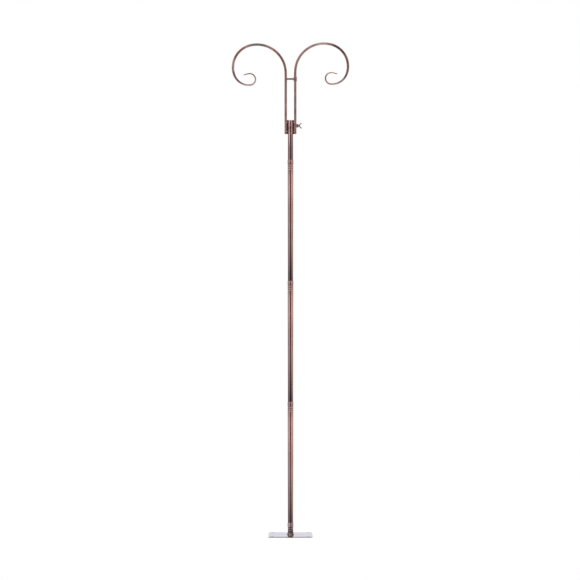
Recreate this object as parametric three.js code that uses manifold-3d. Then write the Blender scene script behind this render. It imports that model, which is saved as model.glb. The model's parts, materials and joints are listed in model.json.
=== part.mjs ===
// Double shepherds hook on a foot plate: a pole in plug-in sections and a clamped head with two scrolls.
// Millimetres, +Z up. The origin is the middle of the foot plate's underside. The scrolls lie in the XZ plane.

import * as THREE from 'three';
import { mergeVertices } from 'three/addons/utils/BufferGeometryUtils.js';
import Module from 'manifold-3d';

// Foot plate
const plateWidth = 160;
const plateThickness = 4.5;
const plateCornerRadius = 5;
const plateHoleDiameter = 8;
const plateHoleInset = 13.7;

// Socket stub that is welded on the plate
const stubHeight = 43.7;
const stubFirstGroove = 17.8;
const stubGrooveCount = 4;
const baseWeldLeg = 2.6;
const baseWeldHeight = 5;

// Pole sections
const sectionLength = 448.7;
const poleTopDiameter = 21.4;
const poleBottomDiameter = 19.6;
const tubeWall = 1.1;
const spigotLength = 38;
const spigotChamfer = 2;
const topPoleLength = 143;

// Socket end of a section: rim bead, collar and rolled grooves
const collarDiameter = 22;
const collarHeight = 15.5;
const rimRadius = 0.5;
const rimBeadHeight = 3.2;
const rimGrooveWidth = 1.8;
const rimGrooveDepth = 0.5;
const lipHeight = 2.5;
const firstGroove = 20;
const groovePitch = 7.4;
const grooveWidth = 3.4;
const grooveDepth = 0.7;
const grooveCount = 3;

// Gaps: between a sliding piece and its guide, and between fixed pieces that touch
const fitGap = 0.3;
const seatGap = 0.3;

// Hook rods
const rodDiameter = 9.5;
const rodTipDiameter = 3.8;
const stemOffset = 17.6;
const stemLength = 229.7;
const leftHookDrop = 3.8;
const stemChamfer = 0.8;

// Bend schedule of a scroll, from the stem to the tip
const crookRadius = 106.5;
const crookTurn = 104.5;
const shoulderRadius = 83.6;
const shoulderTurn = 95.5;
const lowerRadius = 57;
const lowerTurn = 76;
const curlRadius = 21.2;
const curlTurn = 180;
const tipRadius = 75;
const tipTurn = 15;
const taperStartTurn = 180;

// Clamp sleeve round the top pole, with the stems welded to its sides
const sleeveDrop = 47.4;
const sleeveHeight = 51.5;
const sleeveChamfer = 0.8;
const upperBeadHeight = 43.4;
const lowerBeadHeight = 10;
const beadWidth = 7.6;
const beadHeight = 5.2;
const beadDepth = 6.4;
const beadCentreShare = 0.7;

// Wing screw and its nut
const screwHeight = 31.1;
const studDiameter = 6;
const nutAcrossFlats = 11.1;
const nutThickness = 5.6;
const nutBeadWidth = 4;
const nutBeadHeight = 7;
const nutBeadDepth = 4;
const hubDiameter = 9.5;
const hubLength = 6.5;
const hubChamfer = 0.8;
const hubStandOff = 0.6;
const studSocketDepth = 4.5;
const wingReach = 14.6;
const wingSpan = 22.8;
const wingTipRadius = 2;
const wingThickness = 3;
const wingRootHalf = 3.8;
const wingRootStart = 1;
const wingValley = 5.6;
const wingEdgeRound = 0.7;

// Crossbar between the stems
const crossbarDrop = 25.3;
const crossbarDiameter = 7;
const crossbarArch = 1.2;
const crossbarCollarDiameter = 12.4;
const crossbarCollarHeight = 18;
const crossbarCollarRound = 0.6;
const crossbarWeldLength = 2.6;
const crossbarWeldLeg = 1.8;

// Fineness of round shapes, and how far a cutter runs past what it cuts
const tubeSides = 20;
const rodSides = 14;
const smallSides = 16;
const ballSides = 10;
const bendStep = 7.5;
const cutOverrun = 2;

// Heights worked out from the sizes above
const baseRim = plateThickness + stubHeight;
const topPoleFoot = baseRim + 3 * sectionLength;
const topPoleEnd = topPoleFoot + topPoleLength;
const sleeveFoot = topPoleEnd - sleeveDrop;
const screwAxisZ = sleeveFoot + screwHeight;
const crossbarZ = sleeveFoot + stemLength - crossbarDrop;

// Radii that follow from what fits inside what
const rodRadius = rodDiameter / 2;
const sleeveRadius = stemOffset - rodRadius - seatGap;
const sleeveBore = poleBottomDiameter / 2 + fitGap;
const studHole = studDiameter / 2 + fitGap;
const studTip = poleBottomDiameter / 2 + seatGap;
const nutFace = stemOffset + rodRadius + seatGap;
const hubFace = nutFace + nutThickness + hubStandOff;

const wasm = await Module();
wasm.setup();

const copper = { color: 0x9c7f78, roughness: 0.42, metalness: 0.85 };
const darkCopper = { color: 0x6e4d47, roughness: 0.5, metalness: 0.8 };
const zinc = { color: 0xd2cfd6, roughness: 0.3, metalness: 0.9 };
const castMetal = { color: 0x9a8f8c, roughness: 0.5, metalness: 0.8 };

const hook = new THREE.Group();

function addPiece(name, geometry, finish) {
  const mesh = new THREE.Mesh(geometry, new THREE.MeshStandardMaterial(finish));
  mesh.name = name;
  hook.add(mesh);
  return mesh;
}

// Joining and cutting closed meshes
function toSolid(geometry) {
  const bare = geometry.clone();
  bare.deleteAttribute('normal');
  bare.deleteAttribute('uv');
  const merged = mergeVertices(bare, 1e-4);
  const vertProperties = new Float32Array(merged.attributes.position.array);
  const triVerts = new Uint32Array(merged.index.array);
  return new wasm.Manifold(new wasm.Mesh({ numProp: 3, vertProperties, triVerts }));
}

function toGeometry(solid) {
  const mesh = solid.getMesh();
  const geometry = new THREE.BufferGeometry();
  geometry.setAttribute('position', new THREE.BufferAttribute(new Float32Array(mesh.vertProperties), 3));
  geometry.setIndex(new THREE.BufferAttribute(new Uint32Array(mesh.triVerts), 1));
  return geometry;
}

function cut(geometry, cutters) {
  const solid = cutters.reduce((rest, cutter) => rest.subtract(toSolid(cutter)), toSolid(geometry));
  return toGeometry(solid);
}

// Turned pieces: a profile of [radius, height] points, revolved about Z
function turned(profile, sides = tubeSides) {
  const points = profile.map(([radius, height]) => new THREE.Vector2(radius, height));
  const geometry = new THREE.LatheGeometry(points, sides);
  return geometry.rotateX(Math.PI / 2);
}

function postAlongZ(radius, fromZ, toZ, x = 0, sides = tubeSides) {
  const geometry = new THREE.CylinderGeometry(radius, radius, toZ - fromZ, sides);
  return geometry.rotateX(Math.PI / 2).translate(x, 0, (fromZ + toZ) / 2);
}

function pinAlongX(radius, fromX, toX, z, sides = smallSides) {
  const geometry = new THREE.CylinderGeometry(radius, radius, toX - fromX, sides);
  return geometry.rotateZ(-Math.PI / 2).translate((fromX + toX) / 2, 0, z);
}

// Foot plate: a square with round corners and a hole near each of them
function roundedSquare(width, radius) {
  const half = width / 2;
  const inner = half - radius;
  const shape = new THREE.Shape();
  shape.moveTo(-inner, -half);
  shape.lineTo(inner, -half);
  shape.absarc(inner, -inner, radius, -Math.PI / 2, 0);
  shape.lineTo(half, inner);
  shape.absarc(inner, inner, radius, 0, Math.PI / 2);
  shape.lineTo(-inner, half);
  shape.absarc(-inner, inner, radius, Math.PI / 2, Math.PI);
  shape.lineTo(-half, -inner);
  shape.absarc(-inner, -inner, radius, Math.PI, 1.5 * Math.PI);
  return shape;
}

function basePlate() {
  const shape = roundedSquare(plateWidth, plateCornerRadius);
  const reach = plateWidth / 2 - plateHoleInset;
  for (const [sideX, sideY] of [[-1, -1], [1, -1], [1, 1], [-1, 1]]) {
    const hole = new THREE.Path();
    hole.absarc(sideX * reach, sideY * reach, plateHoleDiameter / 2, 0, 2 * Math.PI);
    shape.holes.push(hole);
  }
  return new THREE.ExtrudeGeometry(shape, { depth: plateThickness, bevelEnabled: false, curveSegments: 6 });
}

// Radius of a section's outside at a height above its foot: it widens steadily up to its collar
function taperRadius(height) {
  const share = height / sectionLength;
  return THREE.MathUtils.lerp(poleBottomDiameter, poleTopDiameter, share) / 2;
}

const lowestGroove = firstGroove + (grooveCount - 1) * groovePitch + grooveWidth / 2;
const boreAtGrooves = taperRadius(sectionLength - lowestGroove) - tubeWall - grooveDepth;
const spigotRadius = boreAtGrooves - fitGap;
const lipRadius = spigotRadius + fitGap;

// One rolled groove as four profile points, lowest first
function groovePoints(centre, radiusAt, width, depth) {
  const flat = width / 4;
  const edge = width / 2;
  return [
    [radiusAt(centre - edge), centre - edge],
    [radiusAt(centre) - depth, centre - flat],
    [radiusAt(centre) - depth, centre + flat],
    [radiusAt(centre + edge), centre + edge],
  ];
}

// Socket end, whose rim is at the given height: up the outside, over the rim and down the bore
function socketEnd(rim, topGroove, count, radiusAt) {
  const boreAt = (height) => radiusAt(height) - tubeWall;
  const collarAt = () => collarDiameter / 2;
  const centres = Array.from({ length: count }, (_, index) => rim - topGroove - index * groovePitch);
  const rimGroove = rim - rimBeadHeight - rimGrooveWidth / 2;
  const collarFoot = rim - collarHeight;
  const step = collarDiameter / 2 - radiusAt(collarFoot);
  return {
    outside: [
      ...[...centres].reverse().flatMap((centre) => groovePoints(centre, radiusAt, grooveWidth, grooveDepth)),
      [radiusAt(collarFoot - step), collarFoot - step],
      [collarDiameter / 2, collarFoot],
      ...groovePoints(rimGroove, collarAt, rimGrooveWidth, rimGrooveDepth),
      [collarDiameter / 2, rim - rimRadius],
      [collarDiameter / 2 - rimRadius, rim],
    ],
    bore: [
      [lipRadius, rim],
      [lipRadius, rim - lipHeight],
      [boreAt(rim - 2 * lipHeight), rim - 2 * lipHeight],
      ...centres.flatMap((centre) => groovePoints(centre, boreAt, grooveWidth, grooveDepth).reverse()),
    ],
  };
}

function baseSocket() {
  const radiusAt = () => poleTopDiameter / 2;
  const end = socketEnd(baseRim, stubFirstGroove, stubGrooveCount, radiusAt);
  const foot = [[radiusAt() - tubeWall, plateThickness], [radiusAt(), plateThickness]];
  return turned([...foot, ...end.outside, ...end.bore, foot[0]]);
}

function baseWeld() {
  const inner = poleTopDiameter / 2 + seatGap;
  const outer = poleTopDiameter / 2 + baseWeldLeg;
  const crown = plateThickness + baseWeldHeight;
  const bulge = baseWeldLeg / 4;
  const foot = [inner, plateThickness];
  return turned([
    foot,
    [outer, plateThickness],
    [outer - bulge, plateThickness + baseWeldHeight / 2],
    [inner + bulge, crown],
    [inner, crown],
    foot,
  ]);
}

// Lower end of a section: the reduced spigot that goes down into the socket below
function spigotOutside(foot) {
  return [
    [spigotRadius - tubeWall, foot - spigotLength],
    [spigotRadius - tubeWall / 2, foot - spigotLength],
    [spigotRadius, foot - spigotLength + spigotChamfer],
    [spigotRadius, foot],
    [poleBottomDiameter / 2, foot],
  ];
}

function spigotBore(foot) {
  return [
    [poleBottomDiameter / 2 - tubeWall, foot + 2 * tubeWall],
    [spigotRadius - tubeWall, foot],
  ];
}

function poleSection(foot) {
  const radiusAt = (height) => taperRadius(height - foot);
  const end = socketEnd(foot + sectionLength, firstGroove, grooveCount, radiusAt);
  const start = spigotOutside(foot);
  return turned([...start, ...end.outside, ...end.bore, ...spigotBore(foot), start[0]]);
}

function topPole() {
  const radius = poleBottomDiameter / 2;
  const start = spigotOutside(topPoleFoot);
  return turned([
    ...start,
    [radius, topPoleEnd - rimRadius],
    [radius - rimRadius, topPoleEnd],
    [radius - tubeWall, topPoleEnd],
    ...spigotBore(topPoleFoot),
    start[0],
  ]);
}

// A scroll's centre line: a straight stem, then tangent arcs, each a station with place, heading and radius
const bends = [
  { radius: crookRadius, turn: crookTurn },
  { radius: shoulderRadius, turn: shoulderTurn },
  { radius: lowerRadius, turn: lowerTurn },
  { radius: curlRadius, turn: curlTurn },
  { radius: tipRadius, turn: tipTurn },
];

function arcLength(radius, turn) {
  return radius * THREE.MathUtils.degToRad(turn);
}

// Length of the rod from the point where its taper starts to its tip
function taperLength() {
  let heading = 0;
  let length = 0;
  for (const { radius, turn } of bends) {
    heading += turn;
    length += arcLength(radius, THREE.MathUtils.clamp(heading - taperStartTurn, 0, turn));
  }
  return length;
}

function scrollStations(stemFoot, bendStart) {
  const stations = [
    { x: 0, z: stemFoot, heading: 0, radius: rodRadius - stemChamfer },
    { x: 0, z: stemFoot + stemChamfer, heading: 0, radius: rodRadius },
    { x: 0, z: bendStart, heading: 0, radius: rodRadius },
  ];
  let { x, z, heading } = stations[2];
  let tapered = 0;
  for (const bend of bends) {
    const steps = Math.max(2, Math.round(bend.turn / bendStep));
    const turn = bend.turn / steps;
    for (let step = 0; step < steps; step += 1) {
      const before = THREE.MathUtils.degToRad(heading);
      const after = THREE.MathUtils.degToRad(heading + turn);
      x += bend.radius * (Math.cos(before) - Math.cos(after));
      z += bend.radius * (Math.sin(after) - Math.sin(before));
      heading += turn;
      const share = THREE.MathUtils.clamp((heading - taperStartTurn) / turn, 0, 1);
      tapered += arcLength(bend.radius, turn) * share;
      const radius = THREE.MathUtils.lerp(rodDiameter, rodTipDiameter, tapered / taperLength()) / 2;
      stations.push({ x, z, heading, radius });
    }
  }
  return stations;
}

// The tip is rounded off by rings that follow a quarter circle
function roundedTip(stations) {
  const last = stations[stations.length - 1];
  const direction = THREE.MathUtils.degToRad(last.heading);
  return [30, 60, 80].map((angle) => {
    const lean = THREE.MathUtils.degToRad(angle);
    const ahead = last.radius * Math.sin(lean);
    return {
      x: last.x + ahead * Math.sin(direction),
      z: last.z + ahead * Math.cos(direction),
      heading: last.heading,
      radius: last.radius * Math.cos(lean),
    };
  });
}

// Loft of round rings along stations that lie in the XZ plane, closed by a fan at each end
function loft(stations) {
  const positions = [];
  for (const { x, z, heading, radius } of stations) {
    const across = THREE.MathUtils.degToRad(heading);
    for (let side = 0; side < rodSides; side += 1) {
      const angle = (2 * Math.PI * side) / rodSides;
      const outward = radius * Math.cos(angle);
      const deep = radius * Math.sin(angle);
      positions.push(x + outward * Math.cos(across), deep, z - outward * Math.sin(across));
    }
  }
  const first = stations[0];
  const last = stations[stations.length - 1];
  const startCentre = positions.length / 3;
  positions.push(first.x, 0, first.z, last.x, 0, last.z);
  const index = [];
  for (let side = 0; side < rodSides; side += 1) {
    const next = (side + 1) % rodSides;
    for (let ring = 0; ring + 1 < stations.length; ring += 1) {
      const low = ring * rodSides;
      const high = low + rodSides;
      index.push(low + side, low + next, high + next, low + side, high + next, high + side);
    }
    const top = (stations.length - 1) * rodSides;
    index.push(startCentre, next, side, startCentre + 1, top + side, top + next);
  }
  const geometry = new THREE.BufferGeometry();
  geometry.setAttribute('position', new THREE.Float32BufferAttribute(positions, 3));
  geometry.setIndex(index);
  return geometry;
}

// Mirroring in the YZ plane turns the faces inside out, so each triangle's order is swapped as well
function mirrored(geometry) {
  const index = geometry.index.array;
  for (let corner = 0; corner < index.length; corner += 3) {
    [index[corner], index[corner + 1]] = [index[corner + 1], index[corner]];
  }
  return geometry.scale(-1, 1, 1);
}

function scroll(drop) {
  const stations = scrollStations(sleeveFoot, sleeveFoot + stemLength - drop);
  return loft([...stations, ...roundedTip(stations)]).translate(stemOffset, 0, 0);
}

function rightHook() {
  const hole = pinAlongX(studHole, stemOffset - rodDiameter, stemOffset + rodDiameter, screwAxisZ);
  return cut(scroll(0), [hole]);
}

// Clamp sleeve, with the hole that the stud comes through
function clampSleeve() {
  const top = sleeveFoot + sleeveHeight;
  const foot = [sleeveBore, sleeveFoot];
  const tube = turned([
    foot,
    [sleeveRadius - sleeveChamfer, sleeveFoot],
    [sleeveRadius, sleeveFoot + sleeveChamfer],
    [sleeveRadius, top - sleeveChamfer],
    [sleeveRadius - sleeveChamfer, top],
    [sleeveBore, top],
    foot,
  ]);
  return cut(tube, [pinAlongX(studHole, 0, sleeveRadius + cutOverrun, screwAxisZ)]);
}

// Weld bead: a rounded lump in front of or behind the line where two pieces touch, cut to both
function weldBead(place, size, cutters) {
  const ball = new THREE.SphereGeometry(1, ballSides, ballSides / 2);
  ball.scale(size.width / 2, size.depth / 2, size.height / 2).translate(place.x, place.y, place.z);
  return cut(ball, cutters);
}

function stemBead(side, height, facing) {
  const z = sleeveFoot + height;
  const low = z - beadHeight;
  const high = z + beadHeight;
  const place = { x: side * (stemOffset - rodRadius), y: facing * beadDepth * beadCentreShare, z };
  return weldBead(place, { width: beadWidth, depth: beadDepth, height: beadHeight }, [
    postAlongZ(sleeveRadius + seatGap, low, high),
    postAlongZ(rodRadius + seatGap, low, high, side * stemOffset, rodSides),
  ]);
}

// Nut on the outside of the right stem, and the beads that hold it
function clampNut() {
  const corner = nutAcrossFlats / Math.sqrt(3);
  const shape = new THREE.Shape();
  for (let index = 0; index < 6; index += 1) {
    const angle = (index * Math.PI) / 3;
    const place = [corner * Math.cos(angle), corner * Math.sin(angle)];
    if (index === 0) shape.moveTo(...place);
    else shape.lineTo(...place);
  }
  shape.closePath();
  const bore = new THREE.Path();
  bore.absarc(0, 0, studHole, 0, 2 * Math.PI);
  shape.holes.push(bore);
  const options = { depth: nutThickness, bevelEnabled: false, curveSegments: 4 };
  const geometry = new THREE.ExtrudeGeometry(shape, options);
  return geometry.rotateY(Math.PI / 2).translate(nutFace, 0, screwAxisZ);
}

function nutBead(facing) {
  const z = screwAxisZ;
  const place = { x: nutFace, y: facing * rodRadius, z };
  const nutReach = nutAcrossFlats / Math.sqrt(3) + seatGap;
  return weldBead(place, { width: nutBeadWidth, depth: nutBeadDepth, height: nutBeadHeight }, [
    postAlongZ(rodRadius + seatGap, z - nutBeadHeight, z + nutBeadHeight, stemOffset, rodSides),
    pinAlongX(nutReach, nutFace - seatGap, nutFace + nutThickness, z, smallSides),
    pinAlongX(studHole, stemOffset, nutFace, z),
  ]);
}

// Wing screw: the stud, and the head with its two wings
function clampStud() {
  return pinAlongX(studDiameter / 2, studTip, hubFace + studSocketDepth - seatGap, screwAxisZ);
}

function wingOutline() {
  const tipAlong = wingReach - wingTipRadius;
  const tipOut = wingSpan / 2 - wingTipRadius;
  const slant = wingTipRadius * Math.SQRT1_2;
  const bendAlong = wingReach * 0.44;
  const shape = new THREE.Shape();
  shape.moveTo(wingRootStart, -wingRootHalf);
  shape.lineTo(wingRootStart, wingRootHalf);
  shape.quadraticCurveTo(bendAlong, wingRootHalf, tipAlong - slant, tipOut + slant);
  shape.absarc(tipAlong, tipOut, wingTipRadius, 0.75 * Math.PI, -0.25 * Math.PI, true);
  shape.quadraticCurveTo(wingValley + wingTipRadius, wingRootHalf, wingValley, 0);
  shape.quadraticCurveTo(wingValley + wingTipRadius, -wingRootHalf, tipAlong + slant, -tipOut + slant);
  shape.absarc(tipAlong, -tipOut, wingTipRadius, 0.25 * Math.PI, -0.75 * Math.PI, true);
  shape.quadraticCurveTo(bendAlong, -wingRootHalf, wingRootStart, -wingRootHalf);
  return shape;
}

function wingHead() {
  const wings = new THREE.ExtrudeGeometry(wingOutline(), {
    depth: wingThickness - 2 * wingEdgeRound,
    bevelThickness: wingEdgeRound,
    bevelSize: wingEdgeRound,
    bevelOffset: -wingEdgeRound,
    bevelSegments: 2,
    curveSegments: 6,
  });
  wings.translate(0, 0, wingEdgeRound - wingThickness / 2).rotateX(Math.PI / 2);
  const hub = turned([
    [0, 0],
    [hubDiameter / 2, 0],
    [hubDiameter / 2, hubLength - hubChamfer],
    [hubDiameter / 2 - hubChamfer, hubLength],
    [0, hubLength],
  ], smallSides).rotateY(Math.PI / 2);
  const socket = pinAlongX(studHole, -cutOverrun, studSocketDepth, 0);
  const head = toSolid(wings).add(toSolid(hub)).subtract(toSolid(socket));
  return toGeometry(head).translate(hubFace, 0, screwAxisZ);
}

// Crossbar: a slightly arched bar from the left stem to the collar on the right one
function circleShape(radius, sides) {
  const corners = Array.from({ length: sides }, (_, index) => {
    const angle = (2 * Math.PI * index) / sides;
    return new THREE.Vector2(radius * Math.cos(angle), radius * Math.sin(angle));
  });
  return new THREE.Shape(corners);
}

function archedBar(radius) {
  const path = new THREE.QuadraticBezierCurve3(
    new THREE.Vector3(-stemOffset, 0, crossbarZ),
    new THREE.Vector3(0, 0, crossbarZ + 2 * crossbarArch),
    new THREE.Vector3(stemOffset, 0, crossbarZ),
  );
  const section = circleShape(radius, smallSides);
  return new THREE.ExtrudeGeometry(section, { steps: 8, extrudePath: path, bevelEnabled: false });
}

function crossbar() {
  const low = crossbarZ - crossbarDiameter;
  const high = crossbarZ + crossbarDiameter;
  return cut(archedBar(crossbarDiameter / 2), [
    postAlongZ(rodRadius + seatGap, low, high, -stemOffset, rodSides),
    postAlongZ(crossbarCollarDiameter / 2 + seatGap, low, high, stemOffset),
  ]);
}

function crossbarCollar() {
  const inner = rodRadius + seatGap;
  const outer = crossbarCollarDiameter / 2;
  const low = crossbarZ - crossbarCollarHeight / 2;
  const high = crossbarZ + crossbarCollarHeight / 2;
  const foot = [inner, low];
  return turned([
    foot,
    [outer - crossbarCollarRound, low],
    [outer, low + crossbarCollarRound],
    [outer, high - crossbarCollarRound],
    [outer - crossbarCollarRound, high],
    [inner, high],
    foot,
  ]).translate(stemOffset, 0, 0);
}

// Weld flare round the crossbar's left end, cut to the bar and to the stem that it sits against
function crossbarWeld() {
  const outer = crossbarDiameter / 2 + crossbarWeldLeg;
  const reach = rodRadius + crossbarWeldLength;
  const flare = turned([
    [0, 0],
    [outer, 0],
    [outer, rodRadius],
    [outer - crossbarWeldLeg / 2, reach],
    [0, reach],
  ], smallSides).rotateY(Math.PI / 2).translate(-stemOffset, 0, crossbarZ);
  const low = crossbarZ - crossbarDiameter;
  const high = crossbarZ + crossbarDiameter;
  return cut(flare, [
    postAlongZ(rodRadius + seatGap, low, high, -stemOffset, rodSides),
    archedBar(crossbarDiameter / 2 + seatGap),
  ]);
}

addPiece('base_plate', basePlate(), zinc);
addPiece('base_socket', baseSocket(), copper);
addPiece('base_weld', baseWeld(), darkCopper);

['lower_pole', 'middle_pole', 'upper_pole'].forEach((name, index) => {
  addPiece(name, poleSection(baseRim + index * sectionLength), copper);
});
addPiece('top_pole', topPole(), copper);

addPiece('clamp_sleeve', clampSleeve(), copper);
addPiece('left_hook', mirrored(scroll(leftHookDrop)), copper);
addPiece('right_hook', rightHook(), copper);
for (const [sideName, side] of [['left', -1], ['right', 1]]) {
  for (const [heightName, height] of [['upper', upperBeadHeight], ['lower', lowerBeadHeight]]) {
    for (const [facingName, facing] of [['front', -1], ['back', 1]]) {
      addPiece(`${heightName}_${sideName}_${facingName}_weld`, stemBead(side, height, facing), darkCopper);
    }
  }
}

addPiece('crossbar', crossbar(), copper);
addPiece('crossbar_collar', crossbarCollar(), darkCopper);
addPiece('crossbar_weld', crossbarWeld(), darkCopper);

addPiece('clamp_nut', clampNut(), darkCopper);
addPiece('nut_front_weld', nutBead(-1), darkCopper);
addPiece('nut_back_weld', nutBead(1), darkCopper);
addPiece('clamp_stud', clampStud(), castMetal);
addPiece('wing_head', wingHead(), castMetal);

export default hook;
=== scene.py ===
import json
import math

import bpy
from mathutils import Matrix, Vector


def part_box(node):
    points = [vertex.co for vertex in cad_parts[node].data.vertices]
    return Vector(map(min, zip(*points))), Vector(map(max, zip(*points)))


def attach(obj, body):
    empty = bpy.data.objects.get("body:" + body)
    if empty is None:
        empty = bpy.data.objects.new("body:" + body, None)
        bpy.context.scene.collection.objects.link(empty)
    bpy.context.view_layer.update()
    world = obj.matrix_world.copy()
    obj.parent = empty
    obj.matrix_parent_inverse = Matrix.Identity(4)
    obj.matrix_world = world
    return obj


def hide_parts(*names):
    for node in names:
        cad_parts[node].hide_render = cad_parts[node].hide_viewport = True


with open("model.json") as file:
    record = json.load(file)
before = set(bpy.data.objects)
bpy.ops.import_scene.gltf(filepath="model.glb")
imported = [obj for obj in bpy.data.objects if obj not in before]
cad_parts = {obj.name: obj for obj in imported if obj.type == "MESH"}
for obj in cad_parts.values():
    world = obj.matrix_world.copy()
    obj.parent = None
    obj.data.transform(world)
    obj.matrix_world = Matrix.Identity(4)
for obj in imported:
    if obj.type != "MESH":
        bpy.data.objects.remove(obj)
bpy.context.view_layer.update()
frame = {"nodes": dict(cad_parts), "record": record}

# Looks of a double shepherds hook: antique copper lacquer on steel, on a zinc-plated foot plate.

scene = bpy.context.scene

# Sizes are written in millimetres and used in metres
MM = 0.001

# Who carries each CAD node
body_of_node = {
    node: body
    for body, nodes in frame["record"]["behaviour"]["bodies"].items()
    for node in nodes
}

# Foot plate
PLATE_WIDTH = 160 * MM
PLATE_THICKNESS = 4.5 * MM
PLATE_CORNER = 5 * MM
PLATE_EDGE = 0.35 * MM
PLATE_CORNER_STEPS = 8
HOLE_RADIUS = 4 * MM
HOLE_INSET = 13.7 * MM
HOLE_SIDES = 40

# Pole: plug-in tubes that widen towards their socket end
SECTION_LENGTH = 448.7 * MM
TUBE_TOP_RADIUS = 10.7 * MM
TUBE_FOOT_RADIUS = 9.8 * MM
TUBE_WALL = 1.1 * MM
SPIGOT_RADIUS = 8.47 * MM
SPIGOT_LENGTH = 38 * MM
LIP_RADIUS = 8.77 * MM
COLLAR_RADIUS = 11 * MM
COLLAR_HEIGHT = 15.5 * MM
RIM_ROUND = 0.8 * MM
RIM_BEAD = 3.2 * MM
LIP_HEIGHT = 2.5 * MM
EDGE_ROUND = 0.4 * MM
GROOVE_PITCH = 7.4 * MM
GROOVE_HALF = 1.7 * MM
GROOVE_DEPTH = 0.7 * MM
RIM_GROOVE_HALF = 0.9 * MM
RIM_GROOVE_DEPTH = 0.45 * MM
POLE_FIRST_GROOVE = 20 * MM
STUB_FIRST_GROOVE = 17.8 * MM
LANDS_END = POLE_FIRST_GROOVE + 2 * GROOVE_PITCH

# Fillet weld round the stub: its section as shares of its reach and height, and the ripples round it
FILLET_SECTION = [(0.0, 0.0), (1.0, 0.0), (0.93, 0.2), (0.72, 0.48), (0.45, 0.75), (0.2, 0.95), (0.0, 1.0)]
FILLET_SIDES = 192
FILLET_RIPPLES = 32
FILLET_RIPPLE_DEPTH = 0.12

# Hook rods and their bend schedule, from the stem to the tip
ROD_RADIUS = 4.69 * MM
TIP_RADIUS = 1.9 * MM
STEM_OFFSET = 17.6 * MM
STEM_LENGTH = 229.7 * MM
LEFT_DROP = 3.8 * MM
BENDS = [(106.5 * MM, 104.5), (83.6 * MM, 95.5), (57 * MM, 76), (21.2 * MM, 180), (75 * MM, 15)]
TAPER_START = 180
BEND_STEP = 2.5
ROD_CHAMFER = 0.8 * MM
STEM_STEPS = 24
TIP_ANGLES = (25, 45, 65, 80)

# Clamp sleeve, with tack welds of a few overlapping ripples beside it
SLEEVE_RADIUS = 12.93 * MM
SLEEVE_BORE = 10.1 * MM
SLEEVE_EDGE = 0.9 * MM
SLEEVE_BORE_EDGE = 0.4 * SLEEVE_EDGE
BEAD_ROWS = 36
BEAD_SIDES = 40
BEAD_END = 0.35
BEAD_RIPPLES = 3.5
BEAD_RIPPLE_SHIFT = 0.2
BEAD_RIPPLE_DEPTH = 0.14
BEAD_UNEVENNESS = 0.06

# Nut, whose corners are chamfered by a cone at both faces
NUT_FLAT_RADIUS = 6 * MM
NUT_CHAMFER_SLOPE = math.tan(math.radians(28))
NUT_FACE_SHARE = 0.98
NUT_SIDES = 96
NUT_BORE = 3.3 * MM
NUT_BORE_CHAMFER = 0.3 * MM
NUT_BORE_CHAMFER_DEPTH = 0.5 * MM

# Wing screw
STUD_RADIUS = 3 * MM
STUD_POINT = 0.5 * MM
STUD_SIDES = 36
THREAD_DEPTH = 0.32 * MM
THREAD_PITCH = 1.27 * MM
THREAD_STEPS = 10
HUB_RADIUS = 4.6 * MM
HUB_LENGTH = 6.5 * MM
HUB_EDGE = 0.9 * MM
HUB_TAPER = 0.8 * MM
HUB_BORE = STUD_RADIUS + 0.3 * MM
HUB_BORE_DEPTH = 4.5 * MM
HUB_SIDES = 48
WING_ROOT = (2.6 * MM, 1.2 * MM)
WING_REACH = 14.6 * MM
WING_SPAN = 24.6 * MM
WING_BEND = (0.5 * WING_REACH, 0.24 * WING_SPAN)
WING_TIP_SHARE = 1 / 6
WING_HALF_WIDTH = 2.3 * MM
WING_HALF_THICKNESS = 1.35 * MM
WING_STEPS = 20
WING_SIDES = 24
CAST_VOXEL = 0.25 * MM

# Crossbar and its collar
CROSSBAR_DROP = 25.3 * MM
CROSSBAR_RADIUS = 3.5 * MM
CROSSBAR_ARCH = 0.3 * MM
CROSSBAR_REACH = STEM_OFFSET - 0.4 * ROD_RADIUS
CROSSBAR_STEPS = 24
CROSS_COLLAR_RADIUS = 6.2 * MM
CROSS_COLLAR_EDGE = 1 * MM

# Weld that flares from the crossbar on to the left stem
STEM_COVER = 0.84
WELD_RISE = 1.9 * MM
WELD_STEPS = 10
WELD_FLARE = 1.4
WELD_RIPPLES = 5
WELD_RIPPLE_DEPTH = 0.25
WELD_SINK = 0.15 * MM
WELD_END_STEP = 0.1 * MM
WELD_NARROWING = 0.03

# Sides of round pieces, how near a held point lies to a corner, and the play of a ring on what it sits on
ROUND_SIDES = 64
ROD_SIDES = 32
HOLD = 0.4 * MM
RING_PLAY = 0.05 * MM

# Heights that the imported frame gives
stub_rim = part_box("base_socket")[1].z
top_pole_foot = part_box("upper_pole")[1].z
sleeve_low, sleeve_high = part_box("clamp_sleeve")
screw_z = (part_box("clamp_stud")[0].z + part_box("clamp_stud")[1].z) / 2
bend_start = sleeve_low.z + STEM_LENGTH
crossbar_z = bend_start - CROSSBAR_DROP


# Mesh making

def new_piece(name, rings, closed=False, sharp_from=40):
    """Skin a list of equal rings. A closed list joins its last ring to its first, an open one gets caps."""
    count = len(rings[0])
    verts = [point for ring in rings for point in ring]
    faces = []
    for row in range(len(rings) if closed else len(rings) - 1):
        low = row * count
        high = (row + 1) % len(rings) * count
        for side in range(count):
            after = (side + 1) % count
            faces.append((low + side, low + after, high + after, high + side))
    if not closed:
        faces.append(tuple(reversed(range(count))))
        faces.append(tuple((len(rings) - 1) * count + side for side in range(count)))
    mesh = bpy.data.meshes.new(name)
    mesh.from_pydata(verts, [], faces)
    return link_mesh(name, mesh, sharp_from)


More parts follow.
